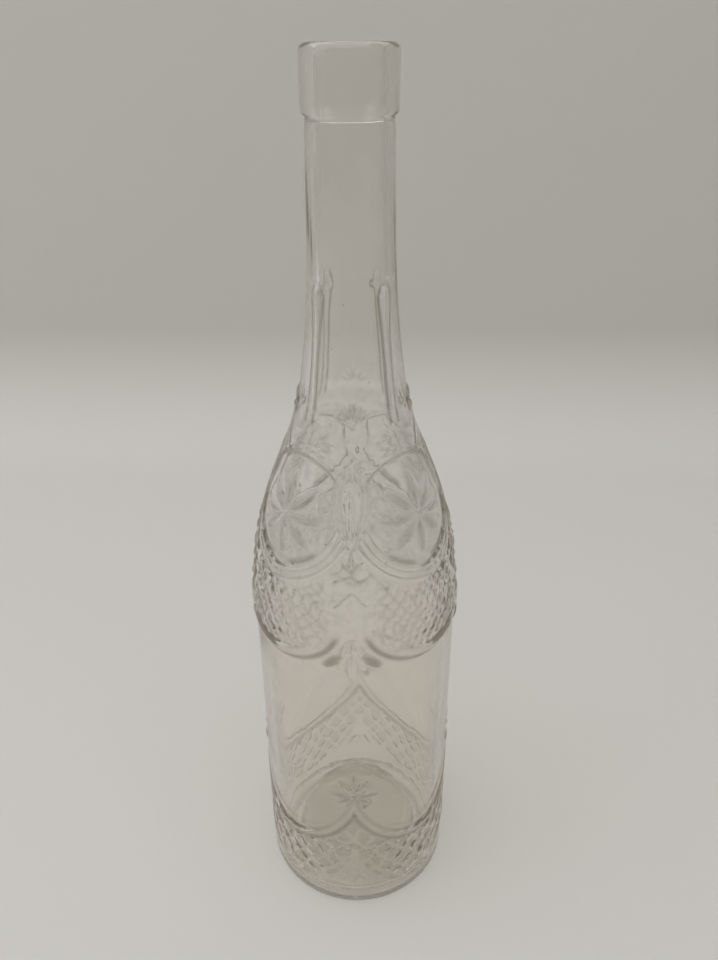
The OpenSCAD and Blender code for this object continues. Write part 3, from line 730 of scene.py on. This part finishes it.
def bubbleSkins():            # each is a small egg whose faces look inwards, as glass round air does
    draw = np.random.default_rng(41)
    eggs = list(bubbles["seen"])
    for _ in range(bubbles["more"]):
        size = draw.uniform(*bubbles["moreWide"])
        eggs.append((draw.uniform(*bubbles["moreTurns"]), draw.uniform(zMedal, zNeck - 4),
                     size * draw.uniform(*bubbles["moreLong"]), size))
    cols, rows = bubbles["cols"], bubbles["rows"]
    found, made, first = [], [], len(points)
    for turn, z, tall, wide in eggs:
        a = math.radians(turn)
        r = float(plainRadius(z)) - bubbles["deep"]
        start = first + len(found)
        for k in range(rows):
            b = math.pi * (k + 0.5) / rows
            for i in range(cols):
                e = 2 * math.pi * i / cols
                out = wide / 2 * math.sin(b) * math.cos(e)
                along = wide / 2 * math.sin(b) * math.sin(e)
                up = -tall / 2 * math.cos(b)
                found.append(((r + out) * math.cos(a) - along * math.sin(a),
                              (r + out) * math.sin(a) + along * math.cos(a), z + up))
        for k in range(rows - 1):
            for i in range(cols):
                j = (i + 1) % cols
                p = start + k * cols
                made.append([p + i, p + cols + i, p + cols + j, p + j])
        for edge, order in ((start, 1), (start + (rows - 1) * cols, -1)):
            found.append(tuple(np.mean(found[edge - first:edge - first + cols], axis=0)))
            tip = first + len(found) - 1
            made += [[tip, edge + i, edge + (i + 1) % cols][::order] for i in range(cols)]
    return np.array(found) * mm, made


eggPoints, eggFaces = bubbleSkins()
for face in eggFaces:
    faceZones.append(4 if eggPoints[face[0] - len(points)][2] < zFlute * mm else 5)
faces += eggFaces
points = np.concatenate([points, eggPoints])
paintedShade, worn = (np.concatenate([kind, np.zeros(len(eggPoints))]) for kind in (paintedShade, worn))
print("Bubbles:", len(eggPoints), "points")


def skinNormals(points, faces):
    normals = np.zeros_like(points)
    for size in (3, 4):
        some = np.array([f for f in faces if len(f) == size])
        a, b = (1, 2) if size == 3 else (2, 3)
        last = 0 if size == 3 else 1
        n = np.cross(points[some[:, a]] - points[some[:, 0]], points[some[:, b]] - points[some[:, last]])
        n = n / np.maximum(np.linalg.norm(n, axis=1, keepdims=True), 1e-15)
        for k in range(size):
            np.add.at(normals, some[:, k], n)
    return normals / np.maximum(np.linalg.norm(normals, axis=1, keepdims=True), 1e-15)


normals = skinNormals(points, faces)


class Socket:                 # one output of a node; sums and products of it add Math nodes
    def __init__(self, tree, out):
        self.tree = tree
        self.out = out

    def maths(self, operation, other, swap=False):
        pair = (other, self) if swap else (self, other)
        return self.tree.node("ShaderNodeMath", {"operation": operation}, {0: pair[0], 1: pair[1]})

    def __add__(self, other):
        return self.maths("ADD", other)

    def __sub__(self, other):
        return self.maths("SUBTRACT", other)

    def __rsub__(self, other):
        return self.maths("SUBTRACT", other, True)

    def __mul__(self, other):
        return self.maths("MULTIPLY", other)

    __radd__ = __add__
    __rmul__ = __mul__


class NodeTree:
    def __init__(self, owner, ending="ShaderNodeOutputMaterial"):
        owner.use_nodes = True
        self.owner = owner
        self.ending = ending
        self.nodes = owner.node_tree.nodes
        self.links = owner.node_tree.links
        self.nodes.clear()

    def node(self, kind, settings=None, inputs=None, out=0):
        n = self.nodes.new(kind)
        for key, value in (settings or {}).items():
            if key == "stops":
                for k, (place, colour) in enumerate(value):
                    stop = n.color_ramp.elements[k] if k < 2 else n.color_ramp.elements.new(place)
                    stop.position = place
                    stop.color = colour
            else:
                setattr(n, key, value)
        for key, value in (inputs or {}).items():
            if isinstance(value, Socket):
                self.links.new(value.out, n.inputs[key])
            else:
                n.inputs[key].default_value = value
        return Socket(self, n.outputs[out])

    def finish(self, surface):
        end = self.nodes.new(self.ending)
        self.links.new(surface.out, end.inputs["Surface"])
        return self.owner


def largest(a, b):
    return a.maths("MAXIMUM", b)


def overSpan(value, span, start=0.0, end=1.0):        # runs from start to end over the span
    low, high = span
    return value.tree.node("ShaderNodeMapRange", {}, {0: value, 1: low, 2: high, 3: start, 4: end})


def blend(share, first, second):
    return share.tree.node("ShaderNodeMix", {"data_type": "RGBA"}, {0: share, 6: first, 7: second}, out=2)


# The glass: tints per surface, how dull and hazy it is, and where each begins and ends (heights in m)
glassLook = {
    "tint": (0.938, 0.918, 0.886, 1),
    "warmTint": (0.93, 0.905, 0.87, 1), "warmOver": (0.35, 0.75),
    "neckTint": (0.957, 0.949, 0.938, 1), "neckTintOver": (0.11, 0.16),
    "baseTint": (0.965, 0.942, 0.915, 1),
    "paintedShadeTint": (0.26, 0.235, 0.195, 1),    # the dark tint where shade is painted
    "paintedShadeMost": 0.95,
    "mottle": 0.2, "mottleOver": (0.5, 0.72),            # faint patches in the moulded shoulder
    "moulded": ((0.11, 0.13), (0.195, 0.215)),           # where the shoulder begins and ends
    "dull": 0.04,             # the glass of the body is a little dull
    "baseDull": 0.2,          # the worn, uneven glass of the base more so
    "dullest": 0.075,         # and that of the shoulder
    "bright": 0.004,          # the neck is clear
    "dullOver": (0.1, 0.13, 0.2, 0.25),
    "haze": 0.04, "hazeOver": (0.56, 0.72),  # roughness in the worn patches
    "wornHaze": 0.1,          # of the worn crests
    "heelWear": 0.22, "heelHigh": 0.006,     # and of the ring that the bottle stands on
    "wrinkle": 0.9,           # chill wrinkles of the moulded shoulder
    "bumpMost": 0.1, "bumpDeep": 0.0005,
    "cloudScale": 45.0, "spotScale": 260.0, "waveScale": 120.0,
    "wrinkleScale": 220.0, "patchScale": 330.0,
    "index": 1.5,
    "clearTint": (0.975, 0.97, 0.95, 1),     # light that passes to the floor
    "shadowClear": 0.79,      # how much of it the glass lets past
    "reflections": 1.5,       # after this many inside the glass a ray goes straight on
    "deepTint": (0.68, 0.655, 0.615, 1),     # tinted by its way in the wall
    "baseDeep": (0.955, 0.94, 0.915, 1),     # and less in the base, where the floor lights it
}


def clearGlass(name, tint, warmTint, lowDull, deepTint):
    g = glassLook
    tree = NodeTree(bpy.data.materials.new(name))
    place = tree.node("ShaderNodeTexCoord", out="Object")
    height = tree.node("ShaderNodeSeparateXYZ", {}, {0: place}, out="Z")

    # Tint: warm clouds low down, paler towards the neck
    cloud = tree.node("ShaderNodeTexNoise", {}, {
        "Vector": place, "Scale": g["cloudScale"], "Detail": 3.0})
    stops = zip(g["warmOver"], (tint, warmTint))
    lowTint = tree.node("ShaderNodeValToRGB", {"stops": stops}, {0: cloud})
    tone = blend(overSpan(height, g["neckTintOver"]), lowTint, g["neckTint"])

    # Wear on the resting ring, hazy spots, slow waves and the shoulder's wrinkles
    wear = overSpan(height, (0.0, g["heelHigh"]), 1.0, 0.0)
    spots = tree.node("ShaderNodeTexNoise", {}, {"Vector": place, "Scale": g["spotScale"], "Detail": 4.0})
    haze = overSpan(spots, g["hazeOver"])
    waves = tree.node("ShaderNodeTexNoise", {}, {"Vector": place, "Scale": g["waveScale"], "Detail": 2.0})
    wrinkles = tree.node("ShaderNodeTexNoise", {}, {
        "Vector": place, "Scale": g["wrinkleScale"], "Detail": 1.0, "Distortion": 0.6})
    begins, ends = g["moulded"]
    aboveBody = overSpan(height, begins)
    belowNeck = overSpan(height, ends, 1.0, 0.0)
    relief = waves + wrinkles * aboveBody * belowNeck * g["wrinkle"]
    bump = tree.node("ShaderNodeBump", {}, {
        "Strength": g["bumpMost"], "Distance": g["bumpDeep"], "Height": relief})

    # Painted shade and worn crests, as worked out from the relief, and faint patches on the shoulder
    paintedShade = tree.node("ShaderNodeAttribute", {"attribute_name": "paintedShade"}, out="Fac")
    worn = tree.node("ShaderNodeAttribute", {"attribute_name": "worn"}, out="Fac")
    patches = tree.node("ShaderNodeTexNoise", {}, {
        "Vector": place, "Scale": g["patchScale"], "Detail": 3.0, "Distortion": 0.8})
    mottle = overSpan(patches, g["mottleOver"], 0.0, g["mottle"])
    # Painted shade, and the shoulder's faint patches, blend the tint towards the dark shade tint
    paintedShadeAndMottle = paintedShade * g["paintedShadeMost"] + mottle * aboveBody * belowNeck * (1 - paintedShade)
    toneWithPaintedShade = blend(paintedShadeAndMottle, tone, g["paintedShadeTint"])

    levels = zip(g["dullOver"], (lowDull, g["dullest"], g["dullest"], g["bright"]))
    dull = tree.node("ShaderNodeValToRGB", {
        "stops": [(up, (v, v, v, 1)) for up, v in levels]}, {0: height})
    rough = haze * g["haze"] + wear * g["heelWear"] + worn * g["wornHaze"] + dull
    glass = tree.node("ShaderNodeBsdfPrincipled", {}, {
        "Base Color": toneWithPaintedShade, "Roughness": rough, "IOR": g["index"],
        "Transmission Weight": 1.0, "Normal": bump})

    # Shadow and floor light pass as through thin glass, and spent rays go straight on
    clear = tree.node("ShaderNodeBsdfTransparent", {}, {"Color": g["clearTint"]})
    shadow = tree.node("ShaderNodeLightPath", out="Is Shadow Ray")
    diffuse = tree.node("ShaderNodeLightPath", out="Is Diffuse Ray")
    inGlass = tree.node("ShaderNodeLightPath", out="Glossy Depth")
    spent = inGlass.maths("GREATER_THAN", g["reflections"])
    deep = tree.node("ShaderNodeBsdfTransparent", {}, {"Color": deepTint})
    passed = largest(shadow, diffuse) * g["shadowClear"]
    lit = tree.node("ShaderNodeMixShader", {}, {0: passed, 1: glass, 2: clear})
    return tree.finish(tree.node("ShaderNodeMixShader", {}, {0: spent, 1: lit, 2: deep}))


wallGlass = clearGlass("clear_glass", glassLook["tint"], glassLook["warmTint"],
                       glassLook["dull"], glassLook["deepTint"])
baseGlass = clearGlass("base_glass", glassLook["baseTint"], glassLook["tint"],
                       glassLook["baseDull"], glassLook["baseDeep"])


def makeZone(zone):           # one zone of the wall, open where the same glass runs on into the next
    own = [f for f, z in zip(faces, faceZones) if z == zone]
    used = np.unique(np.concatenate([np.array(f) for f in own]))
    place = {int(v): k for k, v in enumerate(used)}
    mesh = bpy.data.meshes.new(zoneNames[zone] + "_glass")
    mesh.from_pydata(points[used].tolist(), [], [[place[v] for v in f] for f in own])
    mesh.materials.append(baseGlass if zone == 0 else wallGlass)
    # Painted shade and worn crests ride on each zone as point attributes
    for name, values in (("paintedShade", paintedShade), ("worn", worn)):
        marked = mesh.attributes.new(name, "FLOAT", "POINT")
        marked.data.foreach_set("value", values[used].astype(np.float32))
    mesh.polygons.foreach_set("use_smooth", np.ones(len(own), bool))
    mesh.normals_split_custom_set_from_vertices(normals[used].tolist())
    mesh.update()
    piece = bpy.data.objects.new(zoneNames[zone] + "_glass", mesh)
    bpy.context.scene.collection.objects.link(piece)
    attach(piece, "root")
    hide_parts(zoneNames[zone])
    return piece


for zone in range(len(zoneNames)):
    makeZone(zone)
print("Glass zones made")


# Floor and backdrop: one pale sheet that curves up behind the bottle
studio = {
    "floorTone": (0.72, 0.71, 0.68, 1),
    "shadedWallTone": (0.655, 0.64, 0.60, 1), "wallHigh": 0.09,    # the upright part is painted darker as shade; the tones meet in the bend
    "paperRough": 0.7,
    "front": -2.2, "middle": -0.4, "bend": 0.42, "bendRadius": 0.09, "tall": 1.6, "halfWide": 2.2,
    "roomTone": (0.28, 0.275, 0.26, 1),      # how strongly the room lights matt things
    "seenTone": (0.36, 0.345, 0.315, 1),     # how pale its walls show in and through the glass
    "ceilingTone": (0.1, 0.096, 0.088, 1), "ceilingOver": (0.5, 0.8),
}
lamps = {                     # where each stands and looks, its size and its power
    "top_lamp": ((-0.3, -0.2, 2.0), (0, 0, 0.1), (3.2, 2.6), 34),
    "side_lamp": ((-1.5, -0.6, 0.9), (0, 0, 0.15), (0.9, 1.2), 3),
}


def studioSheet():
    s = studio
    bendStart = s["bend"] - s["bendRadius"]
    line = [(s["front"], 0.0), (s["middle"], 0.0), (bendStart, 0.0)]
    line += [(bendStart + s["bendRadius"] * math.sin(a), s["bendRadius"] * (1 - math.cos(a)))
             for a in np.linspace(0, math.pi / 2, 25)[1:]]
    line += [(s["bend"], s["tall"])]
    verts = [(x, y, z) for y, z in line for x in (-s["halfWide"], s["halfWide"])]
    quads = [(2 * k, 2 * k + 1, 2 * k + 3, 2 * k + 2) for k in range(len(line) - 1)]
    mesh = bpy.data.meshes.new("studio_sheet")
    mesh.from_pydata(verts, [], quads)
    mesh.polygons.foreach_set("use_smooth", np.ones(len(quads), bool))
    tree = NodeTree(bpy.data.materials.new("studio_paper"))
    place = tree.node("ShaderNodeTexCoord", out="Object")
    height = tree.node("ShaderNodeSeparateXYZ", {}, {0: place}, out="Z")
    # Painted shade: the sheet darkens from the floor's tone to the darker wall tone up the bend
    tone = blend(overSpan(height, (0.0, s["wallHigh"])), s["floorTone"], s["shadedWallTone"])
    paper = tree.node("ShaderNodeBsdfPrincipled", {}, {"Base Color": tone, "Roughness": s["paperRough"]})
    mesh.materials.append(tree.finish(paper))
    sheet = bpy.data.objects.new("studio_sheet", mesh)
    bpy.context.scene.collection.objects.link(sheet)


def softLamp(name, place, aim, size, power):
    lamp = bpy.data.lights.new(name, "AREA")
    lamp.shape = "RECTANGLE"
    lamp.size, lamp.size_y = size
    lamp.energy = power
    ob = bpy.data.objects.new(name, lamp)
    ob.location = place
    ob.rotation_euler = (Vector(aim) - Vector(place)).to_track_quat("-Z", "Y").to_euler()
    bpy.context.scene.collection.objects.link(ob)


def pearlRoom():              # paler to what only sees it than to what it lights, and dim overhead
    world = bpy.data.worlds.new("pearl_room")
    tree = NodeTree(world, "ShaderNodeOutputWorld")
    seen = tree.node("ShaderNodeLightPath", out="Is Camera Ray")
    for ray in ("Is Glossy Ray", "Is Transmission Ray"):
        seen = largest(seen, tree.node("ShaderNodeLightPath", out=ray))
    way = tree.node("ShaderNodeTexCoord", out="Generated")
    high = tree.node("ShaderNodeSeparateXYZ", {}, {0: way}, out="Z")
    room = blend(overSpan(high, studio["ceilingOver"]), studio["seenTone"], studio["ceilingTone"])
    tone = blend(seen, studio["roomTone"], room)
    light = tree.node("ShaderNodeBackground", {}, {"Color": tone, "Strength": 1.0})
    bpy.context.scene.world = tree.finish(light)


studioSheet()
for name, (place, aim, size, power) in lamps.items():
    softLamp(name, place, aim, size, power)
pearlRoom()
print("Floor, lamps and room set")

# The camera stands as the photo's did: about level with the mouth, looking down at the body
view = {
    "pitch": 28.715, "roll": 0.43, "around": 1.6,             # degrees
    "away": 228.23, "aside": 1.69, "high": 298.16,            # mm from the bottle's foot
    "focalPx": 785.8, "frameHigh": 960, "sensor": 36.0,
}


def makeCamera():
    v = view
    a, p, r = (math.radians(v[k]) for k in ("around", "pitch", "roll"))
    forward = Vector((-math.sin(a), math.cos(a), 0))
    right = Vector((math.cos(a), math.sin(a), 0))
    up = Vector((0, 0, 1))
    place = (right * v["aside"] - forward * v["away"] + up * v["high"]) * mm
    look = forward * math.cos(p) - up * math.sin(p)
    lift = forward * math.sin(p) + up * math.cos(p)
    rolledRight = right * math.cos(r) - lift * math.sin(r)
    rolledUp = lift * math.cos(r) + right * math.sin(r)
    turn = Matrix((rolledRight, rolledUp, -look)).transposed().to_4x4()
    data = bpy.data.cameras.new("photo_camera")
    data.sensor_fit = "VERTICAL"
    data.sensor_height = v["sensor"]
    data.lens = v["focalPx"] / v["frameHigh"] * v["sensor"]
    data.clip_start = 0.01
    camera = bpy.data.objects.new("photo_camera", data)
    camera.matrix_world = Matrix.Translation(place) @ turn
    bpy.context.scene.collection.objects.link(camera)
    bpy.context.scene.camera = camera


makeCamera()
bpy.context.scene.view_settings.view_transform = "Standard"
print("Camera set")
